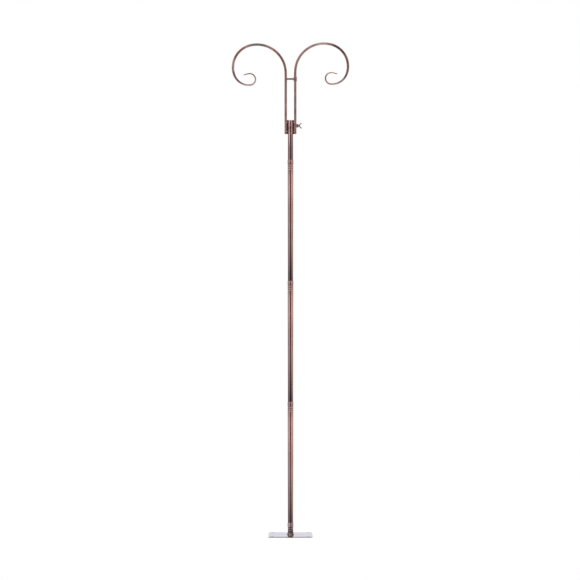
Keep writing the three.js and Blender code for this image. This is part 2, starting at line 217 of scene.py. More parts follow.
def link_mesh(name, mesh, sharp_from=40):
    """Make an object of a mesh, smooth but for edges of more than some degrees."""
    mesh.validate()
    mesh.update()
    for face in mesh.polygons:
        face.use_smooth = True
    mesh.set_sharp_from_angle(angle=math.radians(sharp_from))
    piece = bpy.data.objects.new(name, mesh)
    scene.collection.objects.link(piece)
    return piece


def circle(sides):
    """Angles of the corners of a round ring."""
    return [2 * math.pi * side / sides for side in range(sides)]


def held_straight(profile):
    """Add a point near each end of a long stretch, so that smooth shading keeps the stretch straight."""
    points = []
    for point, after in zip(profile, profile[1:] + profile[:1]):
        points.append(point)
        length = math.dist(point, after)
        if length > 4 * HOLD:
            for share in (HOLD / length, 1 - HOLD / length):
                points.append(tuple(a + (b - a) * share for a, b in zip(point, after)))
    return points


def turned(name, profile, sides=ROUND_SIDES, centre=(0, 0)):
    """Revolve a closed profile of (radius, height) points about an upright axis."""
    rings = [
        [
            Vector((centre[0] + radius * math.cos(angle), centre[1] + radius * math.sin(angle), height))
            for angle in circle(sides)
        ]
        for radius, height in held_straight(profile)
    ]
    return new_piece(name, rings, closed=True)


def turned_along_x(name, profile, z, sides=ROUND_SIDES):
    """Revolve a closed profile of (radius, x) points about a level axis at height z."""
    rings = [
        [Vector((x, radius * math.cos(angle), z + radius * math.sin(angle))) for angle in circle(sides)]
        for radius, x in held_straight(profile)
    ]
    return new_piece(name, rings, closed=True)


def corner(radius_at_edge, height, rounding, start, end, steps=4):
    """Points of a rounded corner whose arc has its centre at (radius_at_edge, height)."""
    points = []
    for step in range(steps + 1):
        angle = math.radians(start + (end - start) * step / steps)
        points.append((radius_at_edge + rounding * math.cos(angle), height + rounding * math.sin(angle)))
    return points


def dress(piece, node, material):
    """Give a piece its finish and let it stand for a CAD node, on the body that carries that node."""
    piece.data.materials.clear()
    piece.data.materials.append(material)
    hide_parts(node)
    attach(piece, body_of_node[node])


# Materials

def linear(hex_colour):
    """Turn an sRGB hex value into a linear colour with alpha."""
    channels = [int(hex_colour[start:start + 2], 16) / 255 for start in (1, 3, 5)]
    return [c / 12.92 if c <= 0.04045 else ((c + 0.055) / 1.055) ** 2.4 for c in channels] + [1.0]


def fill(tree, node, inputs):
    """Set or link inputs of a node, in their order or by name. Each is a number, a hex colour, a socket, or a
    node for its result."""
    for name, value in inputs.items() if isinstance(inputs, dict) else enumerate(inputs):
        socket = node.inputs[name]
        if isinstance(value, bpy.types.Node):
            value = next(output for output in value.outputs if output.enabled)
        if isinstance(value, bpy.types.NodeSocket):
            tree.links.new(value, socket)
        else:
            socket.default_value = linear(value) if isinstance(value, str) else value


def add_node(tree, kind, inputs=(), stops=(), **settings):
    """Add a node with its settings, its (position, hex) colour stops if it has any, and its inputs."""
    node = tree.nodes.new(kind)
    for name, value in settings.items():
        setattr(node, name, value)
    if stops:
        elements = node.color_ramp.elements
        elements[0].position = stops[0][0]
        elements[1].position = stops[-1][0]
        for position, _ in stops[1:-1]:
            elements.new(position)
        for element, (_, hex_colour) in zip(elements, stops):
            element.color = linear(hex_colour)
    fill(tree, node, inputs)
    return node


# A range with soft ends takes a value, the two ends that it comes from and the two that it goes to
SOFT = {"interpolation_type": "SMOOTHSTEP"}

GRAIN_ROUGHNESS = 0.55

# Places of a mix's inputs: its share, two numbers or two colours
SHARE = 0
NUMBERS = (2, 3)
COLOURS = (6, 7)


def start_material(name):
    """An empty material with its tree, its surface shader and the coordinates of the row frame."""
    material = bpy.data.materials.new(name)
    material.use_nodes = True
    tree = material.node_tree
    tree.nodes.clear()
    place = add_node(tree, "ShaderNodeTexCoord").outputs["Object"]
    shader = add_node(tree, "ShaderNodeBsdfPrincipled")
    add_node(tree, "ShaderNodeOutputMaterial", {"Surface": shader})
    return material, tree, place, shader


def grain(tree, place, size, detail=4.0, stretch=(1, 1, 1)):
    """Noise whose features have the given real size."""
    mapped = add_node(tree, "ShaderNodeMapping", {"Vector": place, "Scale": stretch})
    return add_node(
        tree, "ShaderNodeTexNoise",
        {"Vector": mapped, "Scale": 1 / size, "Detail": detail, "Roughness": GRAIN_ROUGHNESS},
    )


def lay_tone(tree, colour, tone, *shares):
    """Lay a tone over a colour, as strongly as the product of the shares. A share is a node, or what a range
    with soft ends takes."""
    product = None
    for share in shares:
        if isinstance(share, tuple):
            share = add_node(tree, "ShaderNodeMapRange", share, **SOFT)
        if product is not None:
            share = add_node(tree, "ShaderNodeMath", (product, share), operation="MULTIPLY")
        product = share
    return add_node(
        tree, "ShaderNodeMix", {SHARE: product, COLOURS[0]: colour, COLOURS[1]: tone}, data_type="RGBA",
    )


# Antique copper: a sprayed copper lacquer, lighter in places and darker in others, partly as painted light
# and painted shade. It is glossy enough to mirror its surroundings as soft upright bands.
LACQUER_BLOTCH = 14 * MM
LACQUER_SPECK = 1.6 * MM
LACQUER_SHINE = 4 * MM
LACQUER_PEEL = 0.9 * MM
LACQUER_PEEL_DEPTH = 0.04 * MM
LACQUER_METALLIC = 0.95
LACQUER_GLOSS = (0.1, 0.18)
SPECK_BROWN = "#3a2a28"
PAINTED_DARK_REFLECTION = "#34201e"
GREY_BLOTCH = "#6f5b5b"

# Painted shade in the valleys is dull and hides the copper, as does the painted light on the stems' inner
# sides
VALLEY_PAINTED_SHADE = "#502521"
PAINTED_TONE_METALLIC = 0.2
PAINTED_TONE_ROUGHNESS = 0.6
PAINTED_TONE_SPECULAR = 0.1


def finish_lacquer(
    tree, place, shader, colour, blotch_hex, depth, gloss=LACQUER_GLOSS, painted_mask=None, painted_colour=VALLEY_PAINTED_SHADE,
):
    """Blotches, specks, uneven gloss and orange peel of all antique copper pieces, and a dull patch of
    painted light and shade where a mask is given.
    """
    clouds = grain(tree, place, LACQUER_BLOTCH, stretch=(1, 1, 0.45))
    colour = lay_tone(tree, colour, blotch_hex, (clouds, 0.42, 0.68, 0.0, depth))
    dust = grain(tree, place, LACQUER_SPECK, detail=2.0)
    colour = lay_tone(tree, colour, SPECK_BROWN, (dust, 0.6, 0.74, 0.0, 0.35))
    shine = grain(tree, place, LACQUER_SHINE, detail=3.0)
    rough = add_node(tree, "ShaderNodeMapRange", (shine, 0.3, 0.7, *gloss), **SOFT)
    fill(tree, shader, {"Metallic": LACQUER_METALLIC, "Coat Weight": 0.15, "Coat Roughness": 0.1})
    # A given mask lays a dull painted tone: painted shade in valleys, painted light on the stems' inner sides
    if painted_mask is not None:
        colour = lay_tone(tree, colour, painted_colour, painted_mask)
        rough = add_node(
            tree, "ShaderNodeMix", {SHARE: painted_mask, NUMBERS[0]: rough, NUMBERS[1]: PAINTED_TONE_ROUGHNESS},
        )
        bare = add_node(
            tree, "ShaderNodeMix", {SHARE: painted_mask, NUMBERS[0]: LACQUER_METALLIC, NUMBERS[1]: PAINTED_TONE_METALLIC},
        )
        fill(tree, shader, {"Metallic": bare, "Specular IOR Level": PAINTED_TONE_SPECULAR})
    bumps = grain(tree, place, LACQUER_PEEL, detail=1.0)
    peel = add_node(
        tree, "ShaderNodeBump", {"Strength": 0.08, "Distance": LACQUER_PEEL_DEPTH, "Height": bumps},
    )
    fill(tree, shader, {"Base Color": colour, "Roughness": rough, "Normal": peel})


def rings_below(tree, below, first):
    """1 at rings that lie a groove pitch apart, starting some way below a rim, and 0 between them."""
    from_first = add_node(tree, "ShaderNodeMath", (below, first), operation="SUBTRACT")
    angle = add_node(tree, "ShaderNodeMath", (from_first, 2 * math.pi / GROOVE_PITCH), operation="MULTIPLY")
    wave = add_node(tree, "ShaderNodeMath", (angle,), operation="COSINE")
    ring = add_node(tree, "ShaderNodeMapRange", (wave, -0.3, 0.9), **SOFT)
    start = first - 0.5 * GROOVE_PITCH
    started = add_node(tree, "ShaderNodeMapRange", (below, start, start + 0.1 * GROOVE_PITCH), **SOFT)
    return add_node(tree, "ShaderNodeMath", (ring, started), operation="MULTIPLY")


# Colours up a tube from its foot to its rim: painted shade towards the foot, painted light below the socket
TUBE_COLOURS = [
    (0.0, "#6b5657"), (0.06, "#785f5f"), (0.13, "#906f6b"), (0.24, "#9f7d7a"), (0.33, "#ab8b87"),
    (0.43, "#b1908d"), (0.56, "#b49089"), (0.72, "#cea79f"), (0.87, "#cda29b"), (0.91, "#b8928d"),
    (0.965, "#ae8d88"), (1.0, "#ae8d88"),
]
TUBE_PAINTED_SIDE_LIGHT = [(0.0, "#84716d"), (0.1, "#b4978e"), (0.5, "#b4978e")]
LAND_PAINTED_SHADE = "#5f4543"
MIDDLE_REFLECTION_COPPER = "#cb8474"
MIDDLE_REFLECTION_CORE = 1.2 * MM
MIDDLE_REFLECTION_REACH = 4.6 * MM

# Colours up the short top pole, darker towards its foot as painted shade, and those of its painted highlight
# line
TOP_COLOURS = [(0.0, "#82645e"), (0.5, "#876d66"), (1.0, "#9c7a72")]
TOP_HIGHLIGHT_COLOURS = [(0.0, "#ac8680"), (0.4, "#a67d76"), (0.75, "#cba097"), (1.0, "#eab4ab")]
TOP_HIGHLIGHT_X = -3.9 * MM
TOP_HIGHLIGHT_CORE = 1 * MM
TOP_HIGHLIGHT_REACH = 3.2 * MM


def pole_lacquer():
    """Antique copper on the tubes, each with painted light below its socket and painted shade towards its
    foot.
    """
    material, tree, place, shader = start_material("antique copper lacquer on tube")
    axes = add_node(tree, "ShaderNodeSeparateXYZ", (place,)).outputs
    across = add_node(tree, "ShaderNodeMath", (axes["X"],), operation="ABSOLUTE")
    above = add_node(tree, "ShaderNodeMath", (axes["Z"], stub_rim), operation="SUBTRACT")
    sections = add_node(tree, "ShaderNodeMath", (above, SECTION_LENGTH), operation="DIVIDE")
    share = add_node(tree, "ShaderNodeMath", (sections,), operation="FRACT")
    below = add_node(
        tree, "ShaderNodeMath", (share, -SECTION_LENGTH, SECTION_LENGTH), operation="MULTIPLY_ADD",
    )
    # Painted shade towards each tube's foot and painted light below its socket
    colour = add_node(tree, "ShaderNodeValToRGB", (share,), TUBE_COLOURS)
    # The lands between the grooves are painted darker, as painted shade
    lands = rings_below(tree, below, POLE_FIRST_GROOVE - 0.5 * GROOVE_PITCH)
    near_rim = (below, LANDS_END - 0.1 * GROOVE_PITCH, LANDS_END, 0.6, 0.0)
    colour = lay_tone(tree, colour, LAND_PAINTED_SHADE, lands, near_rim)
    # At the foot a painted dark reflection lies a little right of the middle
    thick = (axes["X"], -0.3 * TUBE_FOOT_RADIUS, 0.3 * TUBE_FOOT_RADIUS, 0.0, 0.6)
    colour = lay_tone(tree, colour, PAINTED_DARK_REFLECTION, thick, (share, 0.04, 0.36, 1.0, 0.0))
    # Towards the right side painted light keeps the copper light down to the foot
    painted_side_light = add_node(tree, "ShaderNodeValToRGB", (share,), TUBE_PAINTED_SIDE_LIGHT)
    lit_right_side = (axes["X"], 0.3 * TUBE_FOOT_RADIUS, 0.8 * TUBE_FOOT_RADIUS, 0.0, 0.8)
    colour = lay_tone(tree, colour, painted_side_light, lit_right_side, (share, 0.25, 0.55, 1.0, 0.0))
    # Along the middle of the light stretch a painted reflection turns the copper redder
    light_starts = (share, 0.3, 0.6)
    light_ends = (share, 0.86, 0.92, 1.0, 0.2)
    middle_reflection = (across, MIDDLE_REFLECTION_CORE, MIDDLE_REFLECTION_REACH, 0.5, 0.0)
    colour = lay_tone(tree, colour, MIDDLE_REFLECTION_COPPER, light_starts, light_ends, middle_reflection)
    # The top pole has colours of its own, with a painted highlight line left of its middle
    top_share = add_node(tree, "ShaderNodeMapRange", (axes["Z"], top_pole_foot, sleeve_low.z), **SOFT)
    top_colour = add_node(tree, "ShaderNodeValToRGB", (top_share,), TOP_COLOURS)
    highlight_colour = add_node(tree, "ShaderNodeValToRGB", (top_share,), TOP_HIGHLIGHT_COLOURS)
    off_highlight = add_node(tree, "ShaderNodeMath", (axes["X"], TOP_HIGHLIGHT_X), operation="SUBTRACT")
    from_highlight = add_node(tree, "ShaderNodeMath", (off_highlight,), operation="ABSOLUTE")
    painted_highlight = (from_highlight, TOP_HIGHLIGHT_CORE, TOP_HIGHLIGHT_REACH, 1.0, 0.0)
    top_colour = lay_tone(tree, top_colour, highlight_colour, painted_highlight)
    on_top = (axes["Z"], top_pole_foot - 0.5 * MM, top_pole_foot + 0.5 * MM)
    colour = lay_tone(tree, colour, top_colour, on_top)
    finish_lacquer(tree, place, shader, colour, GREY_BLOTCH, 0.2)
    return material


# Colours up the socket stub, the tones on it with a painted sheen at its sides, and where it and its weld are
# darker
STUB_COLOURS = [
    (0.0, "#7a6761"), (0.3, "#806a68"), (0.45, "#806a6a"), (0.6, "#856e70"), (0.7, "#a58a8d"),
    (1.0, "#b09598"),
]
STUB_PAINTED_SHEEN_PINK = "#c4adad"
STUB_RING_BROWN = "#3f2f30"
STUB_BLOTCH = "#453535"
STUB_DARK_PATCH = (7 * MM, -8 * MM, 13 * MM)
STUB_PATCH_CORE = 4 * MM
STUB_PATCH_REACH = 10 * MM
STUB_PATCH_BROWN = "#3a2d2c"


def stub_lacquer():
    """Antique copper on the socket stub: pale pinkish on the collar, dark at the grooves near the floor."""
    material, tree, place, shader = start_material("antique copper lacquer on socket")
    axes = add_node(tree, "ShaderNodeSeparateXYZ", (place,)).outputs
    across = add_node(tree, "ShaderNodeMath", (axes["X"],), operation="ABSOLUTE")
    share = add_node(tree, "ShaderNodeMapRange", (axes["Z"], PLATE_THICKNESS, stub_rim), **SOFT)
    colour = add_node(tree, "ShaderNodeValToRGB", (share,), STUB_COLOURS)
    # Painted sheen: the stub's sides are lighter pink
    sides = (across, 0.35 * TUBE_TOP_RADIUS, 0.75 * TUBE_TOP_RADIUS, 0.0, 0.65)
    colour = lay_tone(tree, colour, STUB_PAINTED_SHEEN_PINK, sides, (share, 0.15, 0.4))
    # Painted dark reflection on the collar, right of the middle
    thick = (axes["X"], -0.3 * TUBE_TOP_RADIUS, 0.3 * TUBE_TOP_RADIUS, 0.0, 0.3)
    colour = lay_tone(tree, colour, PAINTED_DARK_REFLECTION, thick, (share, 0.6, 0.7))
    below = add_node(tree, "ShaderNodeMath", (stub_rim, axes["Z"]), operation="SUBTRACT")
    colour = lay_tone(tree, colour, STUB_RING_BROWN, rings_below(tree, below, STUB_FIRST_GROOVE))
    from_patch = add_node(tree, "ShaderNodeVectorMath", (place, STUB_DARK_PATCH), operation="DISTANCE")
    patched = (from_patch, STUB_PATCH_CORE, STUB_PATCH_REACH, 0.7, 0.0)
    colour = lay_tone(tree, colour, STUB_PATCH_BROWN, patched)
    finish_lacquer(tree, place, shader, colour, STUB_BLOTCH, 0.55)
    return material


# Colours up the clamp sleeve, the painted shade right of its middle, and the ragged edge of the painted shade
# in its valleys
SLEEVE_COLOURS = [(0.0, "#dcb3ab"), (0.25, "#cba59c"), (0.5, "#c09c93"), (0.75, "#e2b1ab"), (1.0, "#f2c6c3")]
SLEEVE_PAINTED_SHADE_BROWN = "#9a766f"
SLEEVE_SHADE_FROM = -2 * MM
SLEEVE_SHADE_TO = 5 * MM
RAGGED_SIZE = 4 * MM
RAGGED_DEPTH = 6 * MM
RAGGED_START = 7.6 * MM
RAGGED_END = 11.3 * MM


def sleeve_lacquer():
    """Antique copper on the clamp sleeve: light in front, with painted shade right of its middle and beside
    the stems.
    """
    material, tree, place, shader = start_material("antique copper lacquer on sleeve")
    axes = add_node(tree, "ShaderNodeSeparateXYZ", (place,)).outputs
    across = add_node(tree, "ShaderNodeMath", (axes["X"],), operation="ABSOLUTE")
    share = add_node(tree, "ShaderNodeMapRange", (axes["Z"], sleeve_low.z, sleeve_high.z), **SOFT)
    colour = add_node(tree, "ShaderNodeValToRGB", (share,), SLEEVE_COLOURS)
    # Painted shade right of the middle
    right_shade = (axes["X"], SLEEVE_SHADE_FROM, SLEEVE_SHADE_TO, 0.0, 0.5)
    colour = lay_tone(tree, colour, SLEEVE_PAINTED_SHADE_BROWN, right_shade)
    # Painted shade in the valleys beside the stems, with a ragged edge
    torn = grain(tree, place, RAGGED_SIZE, detail=3.0)
    ragged = add_node(tree, "ShaderNodeMath", (torn, RAGGED_DEPTH, across), operation="MULTIPLY_ADD")
    painted_mask = add_node(tree, "ShaderNodeMapRange", (ragged, RAGGED_START, RAGGED_END), **SOFT)
    finish_lacquer(tree, place, shader, colour, GREY_BLOTCH, 0.2, painted_mask=painted_mask)
    return material


# Tones of the rods in places: lighter, greyer or darker
BLACK_BROWN = "#65474a"
RED_BROWN = "#8c6157"
MID_GREY = "#77726d"
GREY_MAUVE = "#9f8887"
MAUVE = "#85626a"
PALE_PINK = "#ba9e9c"
GOLDEN = "#cd9d83"

# Patches of those tones: place in the scroll plane and reach, in millimetres, and tone
ROD_PATCHES = [
    (-35, 1774, 36, RED_BROWN),
    (-122, 1822, 38, MID_GREY),
    (-193, 1792, 30, RED_BROWN),
    (-212, 1744, 22, PALE_PINK),
    (-200, 1699, 28, MAUVE),
    (-145, 1678, 34, PALE_PINK),
    (-148, 1716, 26, RED_BROWN),
    (180, 1804, 42, BLACK_BROWN),
    (108, 1828, 36, PALE_PINK),
    (210, 1765, 18, RED_BROWN),
    (209, 1712, 24, MAUVE),
    (189, 1687, 18, GREY_MAUVE),
    (132, 1703, 13, RED_BROWN),
    (158, 1716, 8, RED_BROWN),
    (160, 1676, 22, PALE_PINK),
    (150, 1718, 15, GOLDEN),
    (18, 1668, 34, GOLDEN),
    (18, 1616, 17, GREY_MAUVE),
    (18, 1555, 18, GREY_MAUVE),
    (-18, 1655, 40, GREY_MAUVE),
    (-20, 1515, 26, PALE_PINK),
]
ROD_MOTTLE = 22 * MM
ROD_COLOURS = [(0.3, "#8a6b67"), (0.5, "#a8827b"), (0.7, "#bc9289")]
ROD_BLOTCH = "#5d4242"

# How far the painted light on a stem's inner side and the painted shade of its valley lie inside the stem's
# middle, and the painted light tones
INNER_SIDE = 2 * MM
VALLEY_START = 4.8 * MM
VALLEY_END = 4.0 * MM
LEFT_PAINTED_LIGHT = "#9a7874"
RIGHT_PAINTED_LIGHT = "#c79d96"


def rod_lacquer():
    """Antique copper on the bent rods: mottled mauve brown, with lighter and darker stretches."""
    material, tree, place, shader = start_material("antique copper lacquer on rod")
    axes = add_node(tree, "ShaderNodeSeparateXYZ", (place,)).outputs
    across = add_node(tree, "ShaderNodeMath", (axes["X"],), operation="ABSOLUTE")
    mottle = grain(tree, place, ROD_MOTTLE, detail=3.0)
    colour = add_node(tree, "ShaderNodeValToRGB", (mottle,), ROD_COLOURS)
    for x, z, reach, tone in ROD_PATCHES:
        middle = (x * MM, 0, z * MM)
        distance = add_node(tree, "ShaderNodeVectorMath", (place, middle), operation="DISTANCE")
        near = (distance, 0.45 * reach * MM, 1.25 * reach * MM, 1.0, 0.0)
        colour = lay_tone(tree, colour, tone, near)
    # Beside the sleeve each stem's inner side carries dull painted light, lighter on the right stem, and
    # painted shade in the valley
    inner_side = add_node(
        tree, "ShaderNodeMapRange", (across, STEM_OFFSET - INNER_SIDE, STEM_OFFSET, 1.0, 0.0), **SOFT,
    )
    beside_sleeve = add_node(
        tree, "ShaderNodeMapRange", (axes["Z"], sleeve_high.z - 3 * MM, sleeve_high.z + MM, 1.0, 0.0), **SOFT,
    )
    painted_inner_side = add_node(tree, "ShaderNodeMath", (inner_side, beside_sleeve), operation="MULTIPLY")
    dull = lay_tone(tree, LEFT_PAINTED_LIGHT, RIGHT_PAINTED_LIGHT, (axes["X"], -MM, MM))
    valley = (across, STEM_OFFSET - VALLEY_START, STEM_OFFSET - VALLEY_END, 1.0, 0.0)
    dull = lay_tone(tree, dull, VALLEY_PAINTED_SHADE, valley)
    finish_lacquer(tree, place, shader, colour, ROD_BLOTCH, 0.4, painted_mask=painted_inner_side, painted_colour=dull)
    return material


DARK_GLOSS = (0.16, 0.3)
DARK_MOTTLE = 3 * MM


def dark_lacquer(name, light_hex, dark_hex, gloss=DARK_GLOSS, mottle=DARK_MOTTLE):
    """Antique copper left darker, as on collars, welds and the nut, where burnishing doesn't reach."""
    material, tree, place, shader = start_material(name)
    clouds = grain(tree, place, mottle, detail=3.0)
    colour = lay_tone(tree, light_hex, dark_hex, (clouds, 0.35, 0.65))
    finish_lacquer(tree, place, shader, colour, dark_hex, 0.3, gloss)
    return material


# Zinc plate: clouds and rolling streaks of its face, duller edge and holes with painted shade in the holes,
# and a painted reflection of the stub in line with the pole
ZINC_LIGHT = "#c6c1d2"
ZINC_DARK = "#bdb8c8"
ZINC_STREAK = "#bab5bd"
ZINC_EDGE = "#bbb7bb"
ZINC_PAINTED_REFLECTION = "#6f6465"
HOLE_PAINTED_SHADE = "#2b2729"
CLOUD_SIZE = 30 * MM
STREAK_SIZE = 1.2 * MM
STREAK_DEPTH = 0.02 * MM
EDGE_ROUGHNESS = 0.5
REFLECTION_CORE = 5.5 * MM
REFLECTION_REACH = 13.5 * MM


def zinc_plate():
    """Zinc-plated sheet steel, rolled and nearly polished: a lavender grey that mirrors the room softly."""
    material, tree, place, shader = start_material("zinc plated sheet steel")
    axes = add_node(tree, "ShaderNodeSeparateXYZ", (place,)).outputs
    clouds = grain(tree, place, CLOUD_SIZE, detail=3.0)
    colour = lay_tone(tree, ZINC_LIGHT, ZINC_DARK, (clouds, 0.35, 0.65))
    streaks = grain(tree, place, STREAK_SIZE, detail=2.0, stretch=(0.04, 1, 1))
    colour = lay_tone(tree, colour, ZINC_STREAK, (streaks, 0.45, 0.75, 0.0, 0.25))
    # The sheared edge is duller and darker than the rolled face; the drilled holes are duller and painted
    # near black as shade
    half_width = PLATE_WIDTH / 2
    sideways = add_node(tree, "ShaderNodeVectorMath", (place,), operation="ABSOLUTE")
    across = add_node(tree, "ShaderNodeSeparateXYZ", (sideways,)).outputs
    outmost = add_node(tree, "ShaderNodeMath", (across["X"], across["Y"]), operation="MAXIMUM")
    edge = add_node(
        tree, "ShaderNodeMapRange",
        (outmost, half_width - 2 * PLATE_EDGE, half_width - PLATE_EDGE / 2), **SOFT,
    )
    colour = lay_tone(tree, colour, ZINC_EDGE, edge)
    hole = (half_width - HOLE_INSET, half_width - HOLE_INSET, 0)
    flat = add_node(tree, "ShaderNodeVectorMath", (sideways, (1, 1, 0)), operation="MULTIPLY")
    from_hole = add_node(tree, "ShaderNodeVectorMath", (flat, hole), operation="DISTANCE")
    bore = add_node(
        tree, "ShaderNodeMapRange",
        (from_hole, HOLE_RADIUS + 0.2 * MM, HOLE_RADIUS + 0.6 * MM, 1.0, 0.0), **SOFT,
    )
    colour = lay_tone(tree, colour, HOLE_PAINTED_SHADE, bore)
    # In line with the pole the front edge carries a soft painted reflection of the stub
    in_line = (across["X"], REFLECTION_CORE, REFLECTION_REACH, 0.9, 0.0)
    in_front = (axes["Y"], -half_width + 0.5 * MM, -half_width + MM, 1.0, 0.0)
    colour = lay_tone(tree, colour, ZINC_PAINTED_REFLECTION, in_line, in_front)
    face = add_node(tree, "ShaderNodeMapRange", (clouds, 0.3, 0.7, 0.06, 0.14), **SOFT)
    dull = add_node(tree, "ShaderNodeMath", (edge, bore), operation="MAXIMUM")
    rough = add_node(tree, "ShaderNodeMix", {SHARE: dull, NUMBERS[0]: face, NUMBERS[1]: EDGE_ROUGHNESS})
    bump = add_node(tree, "ShaderNodeBump", {"Strength": 0.15, "Distance": STREAK_DEPTH, "Height": streaks})
    fill(tree, shader, {"Base Color": colour, "Roughness": rough, "Normal": bump, "Metallic": 1.0})
    return material


CAST_MOTTLE = 2.5 * MM
CAST_GRAIN = 0.8 * MM
CAST_DEPTH = 0.08 * MM


def cast_metal(name, light_hex, dark_hex):
    """Die-cast or rolled metal with a thin lacquer: dull, slightly grainy, with darker patches."""
    material, tree, place, shader = start_material(name)
    mottle = grain(tree, place, CAST_MOTTLE)
    colour = lay_tone(tree, light_hex, dark_hex, (mottle, 0.35, 0.68))
    rough = add_node(tree, "ShaderNodeMapRange", (mottle, 0.3, 0.7, 0.32, 0.5), **SOFT)
    grit = grain(tree, place, CAST_GRAIN, detail=2.0)
    bump = add_node(tree, "ShaderNodeBump", {"Strength": 0.25, "Distance": CAST_DEPTH, "Height": grit})
    fill(tree, shader, {"Base Color": colour, "Roughness": rough, "Normal": bump, "Metallic": 0.85})
    return material


# Foot plate

def rounded_square(width, radius):
    """Corner points of a square with round corners."""
    points = []
    inner = width / 2 - radius
    for side_x, side_y, start in ((1, 1, 0), (-1, 1, 90), (-1, -1, 180), (1, -1, 270)):
        for step in range(PLATE_CORNER_STEPS + 1):
            angle = math.radians(start + 90 * step / PLATE_CORNER_STEPS)
            x = side_x * inner + radius * math.cos(angle)
            y = side_y * inner + radius * math.sin(angle)
            points.append((x, y))
    return points


def add_outline(curve, points):
    """Add one closed outline to a flat curve."""
    spline = curve.splines.new("POLY")
    spline.points.add(len(points) - 1)
    for point, (x, y) in zip(spline.points, points):
        point.co = (x, y, 0, 1)
    spline.use_cyclic_u = True


def foot_plate(material):
    """Sheared square with eased edges and four drilled holes."""
    curve = bpy.data.curves.new("foot_plate_outline", "CURVE")
    curve.dimensions = "2D"
    curve.fill_mode = "BOTH"
    curve.extrude = PLATE_THICKNESS / 2 - PLATE_EDGE
    curve.bevel_depth = PLATE_EDGE
    curve.bevel_resolution = 2
    curve.offset = -PLATE_EDGE
    add_outline(curve, rounded_square(PLATE_WIDTH, PLATE_CORNER))
    reach = PLATE_WIDTH / 2 - HOLE_INSET
    for side_x, side_y in ((-1, -1), (1, -1), (1, 1), (-1, 1)):
        add_outline(curve, [
            (side_x * reach + HOLE_RADIUS * math.cos(angle), side_y * reach + HOLE_RADIUS * math.sin(angle))
            for angle in circle(HOLE_SIDES)
        ])
    flat = bpy.data.objects.new("foot_plate_curve", curve)
    scene.collection.objects.link(flat)
    mesh = bpy.data.meshes.new_from_object(flat.evaluated_get(bpy.context.evaluated_depsgraph_get()))
    bpy.data.objects.remove(flat)
    mesh.transform(Matrix.Translation((0, 0, PLATE_THICKNESS / 2)))
    dress(link_mesh("foot_plate", mesh), "base_plate", material)


# Pole

def groove(centre, radius_at, half=GROOVE_HALF, depth=GROOVE_DEPTH, steps=8):
    """A rolled groove as points of a cosine dip, lowest first."""
    points = []
    for step in range(steps + 1):
        along = 2 * step / steps - 1
        height = centre + along * half
        points.append((radius_at(height) - depth * (1 + math.cos(math.pi * along)) / 2, height))
    return points


def socket_profile(rim, first_groove, count, radius_at):
    """Outside and bore of a socket end: grooves, collar, rim bead and the turned-in lip."""
    centres = [rim - first_groove - GROOVE_PITCH * index for index in range(count)]
    collar_foot = rim - COLLAR_HEIGHT
    collar_at = lambda height: COLLAR_RADIUS
    bore_at = lambda height: radius_at(height) - TUBE_WALL
    outside = [point for centre in reversed(centres) for point in groove(centre, radius_at)]
    outside += [(radius_at(collar_foot), collar_foot - EDGE_ROUND)]
    outside += corner(COLLAR_RADIUS - EDGE_ROUND, collar_foot + EDGE_ROUND, EDGE_ROUND, -60, 0)
    outside += groove(rim - RIM_BEAD - RIM_GROOVE_HALF, collar_at, RIM_GROOVE_HALF, RIM_GROOVE_DEPTH)
    outside += corner(COLLAR_RADIUS - RIM_ROUND, rim - RIM_ROUND, RIM_ROUND, 0, 90, 6)
    bore = corner(LIP_RADIUS + EDGE_ROUND, rim - EDGE_ROUND, EDGE_ROUND, 90, 180)
    bore += [(LIP_RADIUS, rim - LIP_HEIGHT), (bore_at(rim), rim - 2 * LIP_HEIGHT)]
    for centre in centres:
        bore += reversed(groove(centre, bore_at))
    return outside, bore


def spigot_profile(foot):
    """The reduced lower end and the shoulder that rests on the rim below."""
    tip = foot - SPIGOT_LENGTH
    outside = [(SPIGOT_RADIUS - TUBE_WALL, tip), (SPIGOT_RADIUS - 0.5 * TUBE_WALL, tip)]
    outside += [(SPIGOT_RADIUS, tip + 2 * TUBE_WALL), (SPIGOT_RADIUS, foot)]
    outside += corner(TUBE_FOOT_RADIUS - EDGE_ROUND, foot + EDGE_ROUND, EDGE_ROUND, -90, 0)
    bore = [(TUBE_FOOT_RADIUS - TUBE_WALL, foot + 2 * TUBE_WALL), (SPIGOT_RADIUS - TUBE_WALL, foot)]
    return outside, bore


def pole_section(node, foot, material):
    rim = foot + SECTION_LENGTH
    widening = TUBE_TOP_RADIUS - TUBE_FOOT_RADIUS
    radius_at = lambda height: TUBE_FOOT_RADIUS + widening * (height - foot) / SECTION_LENGTH
    start, start_bore = spigot_profile(foot)
    outside, bore = socket_profile(rim, POLE_FIRST_GROOVE, 3, radius_at)
    dress(turned(f"{node}_tube", start + outside + bore + start_bore), node, material)


def top_pole(material):
    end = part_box("top_pole")[1].z
    start, start_bore = spigot_profile(top_pole_foot)
    rim = corner(TUBE_FOOT_RADIUS - EDGE_ROUND, end - EDGE_ROUND, EDGE_ROUND, 0, 90)
    profile = start + rim + [(TUBE_FOOT_RADIUS - TUBE_WALL, end)] + start_bore
    dress(turned("top_pole_tube", profile), "top_pole", material)


def socket_stub(material):
    outside, bore = socket_profile(stub_rim, STUB_FIRST_GROOVE, 4, lambda height: TUBE_TOP_RADIUS)
    foot = [(TUBE_TOP_RADIUS - TUBE_WALL, PLATE_THICKNESS), (TUBE_TOP_RADIUS, PLATE_THICKNESS)]
    dress(turned("socket_stub", foot + outside + bore), "base_socket", material)


